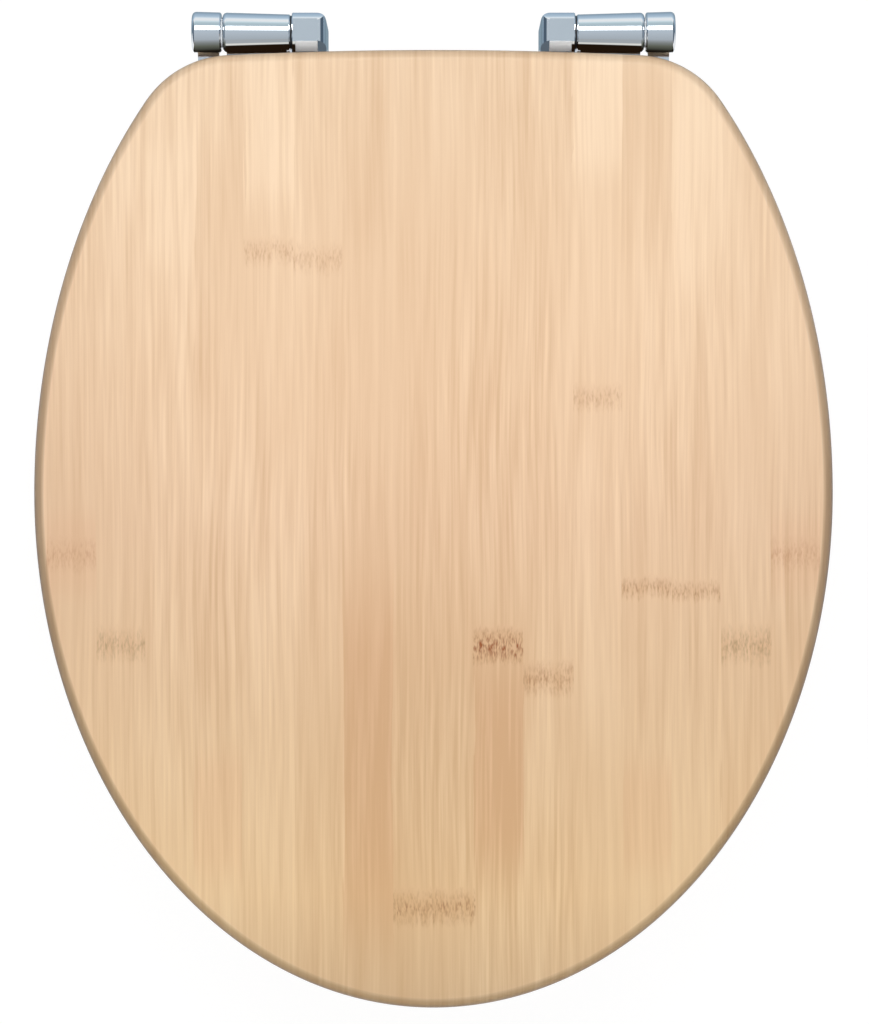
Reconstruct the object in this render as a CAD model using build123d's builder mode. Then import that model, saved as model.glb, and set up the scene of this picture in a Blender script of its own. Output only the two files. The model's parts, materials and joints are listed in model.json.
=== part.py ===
"""Wooden toilet seat with its lid closed, on two chromed hinges.

Millimetres. X runs to the right, Y to the back, Z up. The origin lies midway between
the two mounting bolts, on the ceramic that the hinges stand on.
"""

import os
from math import atan2, cos, degrees, radians, sin, sqrt

from build123d import *

# Lid outline: half ellipses in front of and behind the widest line, cut off by the rear edge
lid_width = 370.0
lid_front = 238.7
lid_rear = 205.0
lid_rear_semi_axis = 261.5
rear_bow_radius = 1900.0
rear_corner_radius = 48.0
lid_setback = 9.05
lid_thickness = 12.0
lid_top_round = 5.0
lid_bottom_round = 3.0

# Seat ring, a little inside the lid's outline
ring_inset = 3.0
ring_rear_inset = 4.4
ring_thickness = 18.0
ring_top_round = 7.0
ring_bottom_round = 3.0
ring_side_width = 68.0
ring_front_width = 68.0
ring_rear_width = 88.0
opening_offset = 22.0

# Heights
ring_clearance = 8.0
lid_gap = 4.5
axis_drop = 0.0

# Hinge posts with their slotted feet
post_spacing = 115.4
post_width = 16.0
head_radius = 9.7
head_flat_height = 8.4
head_front_depth = 9.5
head_rear_depth = 8.6
pillar_half_depth = 7.0
post_plan_round = 4.5
post_front_round = 1.0
post_top_round = 4.5
head_step = 0.4
head_step_inset = 4.2
foot_thickness = 6.0
foot_half_depth = 8.6
foot_setback = 2.0
foot_root_round = 2.5
foot_edge_round = 1.0
head_edge_chamfer = 0.4
foot_end_wall = 4.3
bolt_spacing = 155.0
slot_travel = 12.0
slot_clearance = 0.25
pad_thickness = 1.5
pad_slot_clearance = 1.5
pad_overhang = 0.5

# Plastic covers let into the sloping fronts of the posts
cover_thickness = 1.5
cover_margin = 0.4
cover_inner_margin = 4.0
cover_outer_margin = 1.6
cover_edge_round = 0.3

# Hinge pins, bushes and washers
pin_radius = 3.0
pin_depth_in_post = 12.0
pin_end_clearance = 0.5
pin_chamfer = 0.5
running_clearance = 0.05
bush_wall = 1.5
axial_play = 0.1
spacer_thickness = 0.8
spacer_radius = 7.8
barrel_washer_thickness = 0.5
barrel_washer_radius = 7.0

# Barrels, slightly thicker at the outer end
barrel_radius_inner = 8.3
barrel_radius_outer = 9.6
seat_barrel_length = 31.4
lid_barrel_length = 13.5
lid_barrel_end_wall = 3.5
barrel_end_round = 2.0
groove_chamfer = 0.5
spacer_side_chamfer = 0.4

# Leaves under the lid and on the ring
leaf_thickness = 3.0
leaf_reach = 50.0
seat_leaf_top_fillet = 1.0
lid_leaf_top_fillet = 3.0
leaf_bottom_fillet = 2.0
seat_leaf_margin = 1.2
lid_leaf_margin = 0.6

# Countersunk wood screws
screw_radius = 1.9
screw_head_radius = 3.4
screw_length = 13.0
screw_point = 3.0
screw_clearance = 0.1
seat_screw_pitch = 14.0
seat_screw_row = 30.0
lid_screw_row = 28.0
front_screw_row = 42.0

# Buffers
seat_buffer_length = 38.0
seat_buffer_width = 15.0
seat_buffer_angles = {"front": -52.0, "rear": 35.0}
lid_buffer_radius = 8.0
lid_buffer_angle = -62.0
buffer_round = 1.5
peg_radius = 2.5
peg_length = 7.0

# Mounting bolts, with what clamps them under the ceramic
bolt_radius = 4.0
thread_pitch_radius = 3.6
ceramic_thickness = 24.0
bolt_tail = 38.0
bolt_head_radius = 8.0
bolt_head_height = 3.5
bolt_end_chamfer = 1.0
rubber_washer_radius = 14.0
rubber_washer_thickness = 3.0
clamp_washer_radius = 13.0
clamp_washer_thickness = 2.0
washer_clearance = 0.2
thread_clearance = 0.05
nut_hub_radius = 8.5
nut_hub_tip_radius = 7.0
nut_height = 15.0
wing_span = 42.0
wing_tip_radius = 5.5
wing_root_radius = 4.0
wing_thickness = 3.6
wing_edge_round = 1.0

# Places worked out from the sizes above
ring_bottom = ring_clearance
ring_top = ring_bottom + ring_thickness
lid_bottom = ring_top + lid_gap
axis_height = lid_bottom - axis_drop
widest_line = -lid_setback - lid_rear
ring_rear_edge = -lid_setback - ring_rear_inset
ring_front_edge = widest_line - lid_front + ring_inset
opening_line = widest_line - opening_offset
opening_half_width = lid_width / 2 - ring_inset - ring_side_width
opening_front = opening_line - ring_front_edge - ring_front_width
opening_rear = ring_rear_edge - ring_rear_width - opening_line

post_inner = (post_spacing - post_width) / 2
post_outer = post_inner + post_width
seat_barrel_start = post_outer + spacer_thickness + axial_play
seat_barrel_end = seat_barrel_start + seat_barrel_length
lid_barrel_start = seat_barrel_end + barrel_washer_thickness + 2 * axial_play
lid_barrel_end = lid_barrel_start + lid_barrel_length
bush_radius = pin_radius + running_clearance + bush_wall
lid_bore_end = lid_barrel_end - lid_barrel_end_wall
barrel_taper = (barrel_radius_outer - barrel_radius_inner) / (lid_barrel_end - seat_barrel_start)

facet_top = (-sqrt(head_radius**2 - head_flat_height**2), axis_height + head_flat_height)
facet_bottom = (-head_front_depth, axis_height + sqrt(head_radius**2 - head_front_depth**2))
foot_bottom = pad_thickness
foot_top = foot_bottom + foot_thickness
bolt_place = bolt_spacing / 2
slot_width = 2 * (bolt_radius + slot_clearance)
foot_end = bolt_place + (slot_travel + slot_width) / 2 + foot_end_wall
seat_leaf_width = seat_barrel_length - 2 * (groove_chamfer + seat_leaf_margin)
seat_leaf_middle = seat_barrel_start + seat_barrel_length / 2
lid_leaf_width = lid_barrel_length - groove_chamfer - barrel_end_round - 2 * lid_leaf_margin
lid_leaf_middle = lid_barrel_start + groove_chamfer + lid_leaf_margin + lid_leaf_width / 2
seat_leaf_top = ring_top + leaf_thickness
lid_leaf_bottom = lid_bottom - leaf_thickness
seat_screw_places = [
    (seat_leaf_middle - seat_screw_pitch / 2, -seat_screw_row),
    (seat_leaf_middle + seat_screw_pitch / 2, -seat_screw_row),
    (seat_leaf_middle, -front_screw_row),
]
lid_screw_places = [(lid_leaf_middle, -lid_screw_row), (lid_leaf_middle, -front_screw_row)]

clamp_top = -ceramic_thickness
clamp_washer_top = clamp_top - rubber_washer_thickness
nut_top = clamp_washer_top - clamp_washer_thickness
wing_height = nut_top - nut_height + wing_tip_radius

pin_axis = Axis((0, 0, axis_height), (1, 0, 0))


def pin_plane(x):
    """Plane across the pin at a place along it, facing outwards."""
    return Plane(origin=(x, 0, axis_height), x_dir=(0, 1, 0), z_dir=(1, 0, 0))


def barrel_radius(x):
    """Radius of the tapered barrels at a place along the pin."""
    return barrel_radius_inner + barrel_taper * (x - seat_barrel_start)


def band_place(angle):
    """Middle of the ring's band at an angle round the opening, with its heading in degrees."""
    turn = radians(angle)
    behind = sin(turn) > 0
    outer_depth = lid_rear_semi_axis if behind else lid_front
    opening_depth = opening_rear if behind else opening_front
    half_width = (lid_width / 2 - ring_inset + opening_half_width) / 2
    depth = (outer_depth - ring_inset + opening_depth) / 2
    x = half_width * cos(turn)
    y = (widest_line + opening_line) / 2 + depth * sin(turn)
    heading = degrees(atan2(depth * cos(turn), -half_width * sin(turn)))
    return x, y, heading


def oval(centre, half_width, front, rear):
    """Two half ellipses that meet at their widest line."""
    with BuildSketch() as face:
        with BuildLine():
            EllipticalCenterArc((0, centre), half_width, rear, start_angle=0, arc_size=180)
            EllipticalCenterArc((0, centre), half_width, front, start_angle=180, arc_size=180)
        make_face()
    return face.sketch


def board_outline(inset, rear_edge):
    """A board's outline inside the lid's, cut off by the bowed rear edge."""
    whole = oval(widest_line, lid_width / 2 - inset, lid_front - inset, lid_rear_semi_axis - inset)
    with BuildSketch() as outline:
        add(whole)
        with Locations((0, rear_edge - rear_bow_radius)):
            Circle(rear_bow_radius, mode=Mode.INTERSECT)
    return outline.sketch


def foot_outline(overhang):
    """Outline of the right foot, round at its outer end."""
    half_depth = foot_half_depth + overhang
    inner = post_inner + foot_setback - overhang
    round_centre = foot_end + overhang - half_depth
    with BuildSketch() as outline:
        with Locations((inner, 0)):
            Rectangle(round_centre - inner, 2 * half_depth, align=(Align.MIN, Align.CENTER))
        fillet(outline.vertices().group_by(Axis.X)[0], post_plan_round + overhang)
        with Locations((round_centre, 0)):
            Circle(half_depth)
    return outline.sketch


def wood_screw(clearance):
    """Countersunk screw pointing down from its head at the origin, or the hole that takes it."""
    shank = screw_radius + clearance
    head = screw_head_radius + clearance
    with BuildPart() as screw:
        with BuildSketch(Plane.XZ):
            with BuildLine():
                Polyline(
                    (0, 0),
                    (head, 0),
                    (shank, shank - head),
                    (shank, screw_point - screw_length - clearance),
                    (0, -screw_length - clearance),
                    close=True,
                )
            make_face()
        revolve(axis=Axis.Z)
    return screw.part


def flat_ring(plane, radius, bore, thickness):
    """A washer or sleeve that grows from a plane along its normal."""
    with BuildPart() as ring:
        with BuildSketch(plane):
            Circle(radius)
            Circle(bore, mode=Mode.SUBTRACT)
        extrude(amount=thickness)
    return ring.part


def hinge_leaf(start, end, bore_length, leaf_middle, leaf_width, leaf_bottom, top_fillet, screw_holes):
    """A tapered barrel along the pin with a round-ended leaf in front of it."""
    with BuildPart() as leaf:
        with BuildSketch(Plane.XZ):
            with BuildLine():
                Polyline(
                    (start, axis_height),
                    (start, axis_height + barrel_radius(start)),
                    (end, axis_height + barrel_radius(end)),
                    (end, axis_height),
                    close=True,
                )
            make_face()
        revolve(axis=pin_axis)
        inner_end = leaf.faces().filter_by(GeomType.PLANE).sort_by(Axis.X)[0]
        outer_end = leaf.faces().filter_by(GeomType.PLANE).sort_by(Axis.X)[-1]
        if bore_length < end - start:
            chamfer(inner_end.edges(), groove_chamfer)
            fillet(outer_end.edges(), barrel_end_round)
        else:
            chamfer(inner_end.edges(), spacer_side_chamfer)
            chamfer(outer_end.edges(), groove_chamfer)
        with BuildSketch(Plane.XY.offset(leaf_bottom)):
            with Locations((leaf_middle, -bush_radius)):
                Rectangle(
                    leaf_width,
                    leaf_reach - leaf_width / 2 - bush_radius,
                    align=(Align.CENTER, Align.MAX),
                )
            with Locations((leaf_middle, leaf_width / 2 - leaf_reach)):
                Circle(leaf_width / 2)
        extrude(amount=leaf_thickness)
        upper_face = leaf.faces().filter_by(Axis.Z).sort_by(Axis.Z)[-1]
        fillet(upper_face.edges().sort_by(Axis.Y)[-1], top_fillet)
        lower_face = leaf.faces().filter_by(Axis.Z).sort_by(Axis.Z)[0]
        fillet(lower_face.edges().sort_by(Axis.Y)[-1], leaf_bottom_fillet)
        with BuildSketch(pin_plane(start)):
            Circle(bush_radius)
        extrude(amount=bore_length, mode=Mode.SUBTRACT)
        add(screw_holes, mode=Mode.SUBTRACT)
    return leaf.part


def placed(piece, places):
    """Copies of a piece at several places, as one group."""
    with BuildPart() as group:
        with Locations(*places):
            add(piece)
    return group.part


def mirrored(piece):
    """The left-hand twin of a right-hand piece."""
    with BuildPart() as twin:
        mirror(piece, about=Plane.YZ)
    return twin.part


def bolt_plane(z):
    """Level plane at the right bolt, facing up."""
    return Plane.XY.offset(z).move(Location((bolt_place, 0, 0)))


# Screws and the holes that they go in
seat_screw_spots = [Location((x, y, seat_leaf_top)) for x, y in seat_screw_places]
lid_screw_spots = [Location((x, y, lid_leaf_bottom), (180, 0, 0)) for x, y in lid_screw_places]
right_seat_leaf_screws = placed(wood_screw(0), seat_screw_spots)
right_lid_leaf_screws = placed(wood_screw(0), lid_screw_spots)
right_seat_screw_holes = placed(wood_screw(screw_clearance), seat_screw_spots)
right_lid_screw_holes = placed(wood_screw(screw_clearance), lid_screw_spots)

# Buffers, each moulded with a peg that is pressed into the board above it
seat_buffer_places = {end: band_place(angle) for end, angle in seat_buffer_angles.items()}
seat_peg_places = [(side * x, y) for x, y, _ in seat_buffer_places.values() for side in (1, -1)]
lid_buffer_x, lid_buffer_y, _ = band_place(lid_buffer_angle)


def seat_buffer(place):
    """Oblong buffer along the ring's band, standing on the ceramic."""
    x, y, heading = place
    with BuildPart() as buffer:
        with BuildSketch():
            with Locations((x, y)):
                SlotOverall(seat_buffer_length, seat_buffer_width, rotation=heading)
        extrude(amount=ring_clearance)
        fillet(buffer.faces().sort_by(Axis.Z)[0].edges(), buffer_round)
        with BuildSketch(Plane.XY.offset(ring_bottom)):
            with Locations((x, y)):
                Circle(peg_radius)
        extrude(amount=peg_length)
    return buffer.part


with BuildPart() as right_lid_buffer:
    with BuildSketch(Plane.XY.offset(ring_top)):
        with Locations((lid_buffer_x, lid_buffer_y)):
            Circle(lid_buffer_radius)
    extrude(amount=lid_gap)
    fillet(right_lid_buffer.faces().sort_by(Axis.Z)[0].edges(), buffer_round)
    with BuildSketch(Plane.XY.offset(lid_bottom)):
        with Locations((lid_buffer_x, lid_buffer_y)):
            Circle(peg_radius)
    extrude(amount=peg_length)

# Lid: one board with a rounded edge, drilled from below
lid_outline = board_outline(0, -lid_setback)
with BuildPart() as lid:
    with BuildSketch(Plane.XY.offset(lid_bottom)):
        add(lid_outline)
    extrude(amount=lid_thickness)
    fillet(lid.edges().filter_by(Axis.Z).group_by(Axis.Y)[-1], rear_corner_radius)
    fillet(lid.faces().sort_by(Axis.Z)[-1].edges(), lid_top_round)
    fillet(lid.faces().sort_by(Axis.Z)[0].edges(), lid_bottom_round)
    add(right_lid_screw_holes, mode=Mode.SUBTRACT)
    add(mirrored(right_lid_screw_holes), mode=Mode.SUBTRACT)
    with BuildSketch(Plane.XY.offset(lid_bottom)):
        with Locations((lid_buffer_x, lid_buffer_y), (-lid_buffer_x, lid_buffer_y)):
            Circle(peg_radius)
    extrude(amount=peg_length, mode=Mode.SUBTRACT)

# Seat ring: one board with the opening, drilled from above for the leaves and from below for the buffers
ring_outline = board_outline(ring_inset, ring_rear_edge)
opening_outline = oval(opening_line, opening_half_width, opening_front, opening_rear)
with BuildPart() as seat_ring:
    with BuildSketch(Plane.XY.offset(ring_bottom)):
        add(ring_outline)
    extrude(amount=ring_thickness)
    fillet(seat_ring.edges().filter_by(Axis.Z).group_by(Axis.Y)[-1], rear_corner_radius)
    with BuildSketch(Plane.XY.offset(ring_bottom)):
        add(opening_outline)
    extrude(amount=ring_thickness, mode=Mode.SUBTRACT)
    fillet(seat_ring.faces().sort_by(Axis.Z)[-1].edges(), ring_top_round)
    fillet(seat_ring.faces().sort_by(Axis.Z)[0].edges(), ring_bottom_round)
    add(right_seat_screw_holes, mode=Mode.SUBTRACT)
    add(mirrored(right_seat_screw_holes), mode=Mode.SUBTRACT)
    with BuildSketch(Plane.XY.offset(ring_bottom)):
        with Locations(*seat_peg_places):
            Circle(peg_radius)
    extrude(amount=peg_length, mode=Mode.SUBTRACT)

# Leaves with their barrels
right_seat_leaf = hinge_leaf(
    seat_barrel_start,
    seat_barrel_end,
    seat_barrel_length,
    seat_leaf_middle,
    seat_leaf_width,
    ring_top,
    seat_leaf_top_fillet,
    right_seat_screw_holes,
)
right_lid_leaf = hinge_leaf(
    lid_barrel_start,
    lid_barrel_end,
    lid_bore_end - lid_barrel_start,
    lid_leaf_middle,
    lid_leaf_width,
    lid_leaf_bottom,
    lid_leaf_top_fillet,
    right_lid_screw_holes,
)

# Foot that spreads outwards from the post, rounded along its upper edge
foot_plan = foot_outline(0)
with BuildPart() as right_foot:
    with BuildSketch(Plane.XY.offset(foot_bottom)):
        add(foot_plan)
    extrude(amount=foot_thickness)
    fillet(right_foot.faces().sort_by(Axis.Z)[-1].edges(), foot_edge_round)

# Cover: a flat plate along the sloping front of the post's head
facet_length = sqrt((facet_bottom[0] - facet_top[0]) ** 2 + (facet_bottom[1] - facet_top[1]) ** 2)
facet_plane = Plane(
    origin=(post_inner + cover_inner_margin, *facet_top),
    x_dir=(1, 0, 0),
    z_dir=(0, facet_bottom[1] - facet_top[1], facet_top[0] - facet_bottom[0]),
)
with BuildPart() as cover_pocket:
    with BuildSketch(facet_plane):
        with Locations((0, -cover_margin)):
            Rectangle(
                post_width - cover_inner_margin - cover_outer_margin,
                facet_length - 2 * cover_margin,
                align=(Align.MIN, Align.MAX),
            )
    extrude(amount=-cover_thickness)
with BuildPart() as right_post_cover:
    add(cover_pocket.part)
    outer_face = right_post_cover.faces().filter_by(facet_plane).sort_by(Axis.Z)[-1]
    fillet(outer_face.edges(), cover_edge_round)

# Hinge post: a round head with a flat top on a pillar, in one piece with its slotted foot
with BuildPart() as right_hinge_post:
    with BuildSketch(Plane.YZ.offset(post_inner)):
        with Locations((0, axis_height)):
            Circle(head_radius)
        with Locations(((head_rear_depth - head_front_depth) / 2, axis_height)):
            Rectangle(head_front_depth + head_rear_depth, 2 * head_radius, mode=Mode.INTERSECT)
        with Locations((0, axis_height + head_flat_height)):
            Rectangle(
                2 * head_radius,
                head_radius,
                align=(Align.CENTER, Align.MIN),
                mode=Mode.SUBTRACT,
            )
        with BuildLine():
            Polyline(facet_top, facet_bottom, (facet_bottom[0], facet_top[1]), close=True)
        make_face(mode=Mode.SUBTRACT)
        with Locations((0, axis_height)):
            Rectangle(
                2 * pillar_half_depth,
                axis_height - foot_bottom,
                align=(Align.CENTER, Align.MAX),
            )
    extrude(amount=post_width)
    with BuildSketch(Plane.XZ.offset(-head_radius)) as front:
        with Locations((post_inner, foot_bottom)):
            Rectangle(
                post_width,
                axis_height + head_flat_height - foot_bottom,
                align=(Align.MIN, Align.MIN),
            )
        fillet(front.vertices().group_by(Axis.X)[0].sort_by(Axis.Y)[-1], post_top_round)
    extrude(amount=2 * head_radius, mode=Mode.INTERSECT)
    with BuildSketch() as plan:
        with Locations((post_inner, (head_rear_depth - head_front_depth) / 2)):
            Rectangle(
                post_width,
                head_front_depth + head_rear_depth,
                align=(Align.MIN, Align.CENTER),
            )
        fillet(plan.vertices().group_by(Axis.X)[0].sort_by(Axis.Y)[-1], post_plan_round)
        fillet(plan.vertices().group_by(Axis.X)[0].sort_by(Axis.Y)[0], post_front_round)
    extrude(amount=axis_height + head_radius, mode=Mode.INTERSECT)
    with Locations((post_inner + head_step_inset, 0, axis_height + head_flat_height - head_step)):
        Box(
            post_width,
            2 * head_radius,
            head_radius,
            align=(Align.MIN, Align.CENTER, Align.MIN),
            mode=Mode.SUBTRACT,
        )
    outer_side = right_hinge_post.faces().filter_by(Axis.X).sort_by(Axis.X)[-1]
    head_edges = outer_side.edges().filter_by_position(Axis.Z, axis_height, axis_height + head_radius)
    chamfer(head_edges, head_edge_chamfer)
    add(right_foot.part)
    foot_root = right_hinge_post.edges().filter_by(Axis.Y).filter_by_position(
        Axis.X, post_outer, post_outer
    )
    fillet(foot_root.sort_by(Axis.Z)[0], foot_root_round)
    with BuildSketch(Plane.XY.offset(foot_bottom)):
        with Locations((bolt_place, 0)):
            SlotCenterToCenter(slot_travel, slot_width)
    extrude(amount=foot_thickness + foot_root_round, mode=Mode.SUBTRACT)
    with BuildSketch(pin_plane(post_outer)):
        Circle(pin_radius)
    extrude(amount=-pin_depth_in_post, mode=Mode.SUBTRACT)
    add(cover_pocket.part, mode=Mode.SUBTRACT)

# Hinge pin, pressed into the post
with BuildPart() as right_hinge_pin:
    with BuildSketch(pin_plane(post_outer - pin_depth_in_post)):
        Circle(pin_radius)
    extrude(amount=lid_bore_end - pin_end_clearance - post_outer + pin_depth_in_post)
    chamfer(right_hinge_pin.edges().group_by(Axis.X)[-1], pin_chamfer)

# Washers and bushes on the pin
pin_bore = pin_radius + running_clearance
right_spacer_washer = flat_ring(pin_plane(post_outer), spacer_radius, pin_bore, spacer_thickness)
right_barrel_washer = flat_ring(
    pin_plane(seat_barrel_end + axial_play), barrel_washer_radius, pin_bore, barrel_washer_thickness
)
right_seat_bush = flat_ring(pin_plane(seat_barrel_start), bush_radius, pin_bore, seat_barrel_length)
right_lid_bush = flat_ring(
    pin_plane(lid_barrel_start), bush_radius, pin_bore, lid_bore_end - lid_barrel_start
)

# Soft pad under the foot
pad_plan = foot_outline(pad_overhang)
with BuildPart() as right_base_pad:
    with BuildSketch():
        add(pad_plan)
        with Locations((bolt_place, 0)):
            SlotCenterToCenter(slot_travel, slot_width + 2 * pad_slot_clearance, mode=Mode.SUBTRACT)
    extrude(amount=pad_thickness)

# Coach bolt: domed head, square neck in the slot, plain shank, and a tail drawn at the thread's pitch radius
with BuildPart() as right_mounting_bolt:
    with BuildSketch(Plane.XZ):
        with BuildLine():
            rim = (bolt_place + bolt_head_radius, foot_top)
            top = (bolt_place, foot_top + bolt_head_height)
            Polyline(top, (bolt_place, foot_top), rim)
            RadiusArc(rim, top, -(bolt_head_radius**2 + bolt_head_height**2) / (2 * bolt_head_height))
        make_face()
    revolve(axis=Axis((bolt_place, 0, 0), (0, 0, 1)))
    with BuildSketch(bolt_plane(foot_bottom)):
        Rectangle(2 * bolt_radius, 2 * bolt_radius)
    extrude(amount=foot_thickness)
    with BuildSketch(bolt_plane(clamp_top)):
        Circle(bolt_radius)
    extrude(amount=ceramic_thickness + pad_thickness)
    with BuildSketch(bolt_plane(clamp_top)):
        Circle(thread_pitch_radius)
    extrude(amount=-bolt_tail)
    chamfer(right_mounting_bolt.faces().sort_by(Axis.Z)[0].edges(), bolt_end_chamfer)

# Washers under the ceramic
washer_bore = bolt_radius + washer_clearance
right_rubber_washer = flat_ring(
    bolt_plane(clamp_washer_top), rubber_washer_radius, washer_bore, rubber_washer_thickness
)
right_clamp_washer = flat_ring(
    bolt_plane(nut_top), clamp_washer_radius, washer_bore, clamp_washer_thickness
)

# Wings of the nut: a pair of paddles, wider at their tips
with BuildSketch() as paddle:
    with Locations((nut_hub_tip_radius, 0)):
        Circle(wing_root_radius)
    with Locations((wing_span / 2 - wing_tip_radius, 0)):
        Circle(wing_tip_radius)
    make_hull()
with BuildPart() as wings:
    with BuildSketch(Plane.XZ.offset(-wing_thickness / 2)):
        with Locations((bolt_place, wing_height)):
            add(paddle.sketch)
            add(mirror(paddle.sketch, about=Plane.YZ, mode=Mode.PRIVATE))
    extrude(amount=wing_thickness)
    fillet(wings.faces().filter_by(Axis.Y).edges(), wing_edge_round)

# Wing nut
with BuildPart() as right_wing_nut:
    with BuildSketch(Plane.XZ):
        with BuildLine():
            Polyline(
                (bolt_place, nut_top),
                (bolt_place + nut_hub_radius, nut_top),
                (bolt_place + nut_hub_tip_radius, nut_top - nut_height),
                (bolt_place, nut_top - nut_height),
                close=True,
            )
        make_face()
    revolve(axis=Axis((bolt_place, 0, 0), (0, 0, 1)))
    add(wings.part)
    with BuildSketch(bolt_plane(nut_top)):
        Circle(thread_pitch_radius + thread_clearance)
    extrude(amount=-nut_height, mode=Mode.SUBTRACT)

# Every piece under its node's name: the boards once, the rest on both sides
right_pieces = {
    "hinge_post": right_hinge_post.part,
    "post_cover": right_post_cover.part,
    "hinge_pin": right_hinge_pin.part,
    "spacer_washer": right_spacer_washer,
    "barrel_washer": right_barrel_washer,
    "base_pad": right_base_pad.part,
    "mounting_bolt": right_mounting_bolt.part,
    "rubber_washer": right_rubber_washer,
    "clamp_washer": right_clamp_washer,
    "wing_nut": right_wing_nut.part,
    "seat_leaf": right_seat_leaf,
    "seat_bush": right_seat_bush,
    "seat_leaf_screws": right_seat_leaf_screws,
    "lid_leaf": right_lid_leaf,
    "lid_bush": right_lid_bush,
    "lid_leaf_screws": right_lid_leaf_screws,
    "lid_buffer": right_lid_buffer.part,
}
for end, place in seat_buffer_places.items():
    right_pieces[f"{end}_seat_buffer"] = seat_buffer(place)

nodes = {"lid": lid.part, "seat_ring": seat_ring.part}
for name, piece in right_pieces.items():
    nodes[f"right_{name}"] = piece
    nodes[f"left_{name}"] = mirrored(piece)

os.makedirs("parts", exist_ok=True)
for name, piece in nodes.items():
    piece.label = name
    export_step(piece, f"parts/{name}.step")
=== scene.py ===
# %% [markdown]
# A wooden toilet seat with its lid closed, on two chromed hinges, seen from straight above. The solids
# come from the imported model, which is a fixed frame: nothing here moves or resizes it. This lesson dresses
# that frame with finer surfaces and real finishes, one piece at a time.

# %% Load the frame
import json
import math

import bpy
import numpy as np
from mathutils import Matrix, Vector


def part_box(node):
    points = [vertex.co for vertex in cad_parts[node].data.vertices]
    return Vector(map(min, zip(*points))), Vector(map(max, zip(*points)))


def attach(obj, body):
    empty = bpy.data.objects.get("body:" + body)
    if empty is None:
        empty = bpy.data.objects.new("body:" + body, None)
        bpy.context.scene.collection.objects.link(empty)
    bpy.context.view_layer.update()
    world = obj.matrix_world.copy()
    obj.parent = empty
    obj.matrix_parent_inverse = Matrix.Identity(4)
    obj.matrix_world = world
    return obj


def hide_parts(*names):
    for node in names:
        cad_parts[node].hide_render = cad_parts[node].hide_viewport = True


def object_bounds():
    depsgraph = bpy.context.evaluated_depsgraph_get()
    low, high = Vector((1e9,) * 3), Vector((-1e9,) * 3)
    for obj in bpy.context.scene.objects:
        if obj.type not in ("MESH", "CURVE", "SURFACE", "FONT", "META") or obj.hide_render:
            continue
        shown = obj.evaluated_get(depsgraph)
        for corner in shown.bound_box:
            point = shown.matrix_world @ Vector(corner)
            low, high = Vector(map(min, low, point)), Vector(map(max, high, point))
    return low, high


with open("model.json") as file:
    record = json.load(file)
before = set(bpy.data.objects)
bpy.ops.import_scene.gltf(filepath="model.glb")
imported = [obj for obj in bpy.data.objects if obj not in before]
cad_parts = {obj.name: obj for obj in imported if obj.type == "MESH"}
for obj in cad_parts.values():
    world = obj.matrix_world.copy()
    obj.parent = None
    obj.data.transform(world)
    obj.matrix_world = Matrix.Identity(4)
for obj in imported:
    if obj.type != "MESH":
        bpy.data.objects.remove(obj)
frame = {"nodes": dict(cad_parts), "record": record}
cad_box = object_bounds()
MM = 0.001
SIDES = {"right": 1, "left": -1}

# %% [markdown]
# The camera comes first. The picture looks straight down on the lid, so the camera needs only a height, a
# place over the lid and a lens. A long lens from 1.6 metres keeps the perspective as slight as it is in the
# picture. One pixel covers a known length on the lid, which also turns any place in the picture into a place
# on the wood.

# %% Camera
PICTURE_HEIGHT = 1024
PICTURE_WIDTH = 869
PIXEL = 0.46337 * MM
LID_MIDDLE_COLUMN = 433.5
LID_FRONT_ROW = 1007.5
LID_TOP_ROUND = 5.0 * MM
CAMERA_DISTANCE = 1.6
SENSOR = 36.0
lid_low, lid_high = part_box("lid")
outline_height = lid_high.z - LID_TOP_ROUND


def lid_place(column, row):
    """Place on the lid, in metres, of a pixel of the picture."""
    return (column - LID_MIDDLE_COLUMN) * PIXEL, lid_low.y + (LID_FRONT_ROW - row) * PIXEL


def new_object(name, data):
    """A new object at the origin, linked to the scene."""
    thing = bpy.data.objects.new(name, data)
    bpy.context.scene.collection.objects.link(thing)
    return thing


camera = new_object("camera", bpy.data.cameras.new("camera"))
camera_x, camera_y = lid_place(PICTURE_WIDTH / 2, PICTURE_HEIGHT / 2)
camera.location = (camera_x, camera_y, outline_height + CAMERA_DISTANCE)
camera.data.sensor_fit = "VERTICAL"
camera.data.sensor_height = SENSOR
camera.data.lens = SENSOR * CAMERA_DISTANCE / (PICTURE_HEIGHT * PIXEL)
bpy.context.scene.camera = camera
bpy.context.scene.view_settings.view_transform = "Standard"
print("camera at", [round(c, 4) for c in camera.location], "lens", round(camera.data.lens, 1), "mm")

# %% [markdown]
# Every new piece is a grid of points that numpy works out at once: one parameter runs round the piece and
# the other along its section. Blender could also build these with its own tools, but a formula keeps the
# exact sizes of the solids. The helpers below turn such grids into closed meshes whose faces point outwards.

# %% Mesh helpers
CREASE = 35.0


def skin(grid, loop=False, first_pole=None, last_pole=None):
    """Points and faces of a grid: each row is a closed ring, and neighbouring rings are joined by quads.

    With loop, the last ring joins the first. A pole closes an end ring with a fan to one point.
    """
    rows, columns = grid.shape[:2]
    index = np.arange(rows * columns).reshape(rows, columns)
    if loop:
        index = np.vstack([index, index[:1]])
    beside = np.roll(index, -1, axis=1)
    quads = np.stack([index[:-1], beside[:-1], beside[1:], index[1:]], axis=-1).reshape(-1, 4)
    points = [grid.reshape(-1, 3)]
    faces = quads.tolist()
    for ring, pole, turn in ((index[0], first_pole, -1), (index[-1], last_pole, 1)):
        if pole is not None:
            tip = np.full_like(ring, sum(map(len, points)))
            fan = np.stack([ring, np.roll(ring, -1), tip], axis=-1)
            faces += fan[:, ::turn].tolist()
            points.append(np.array([pole], float))
    return np.vstack(points), faces


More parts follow.
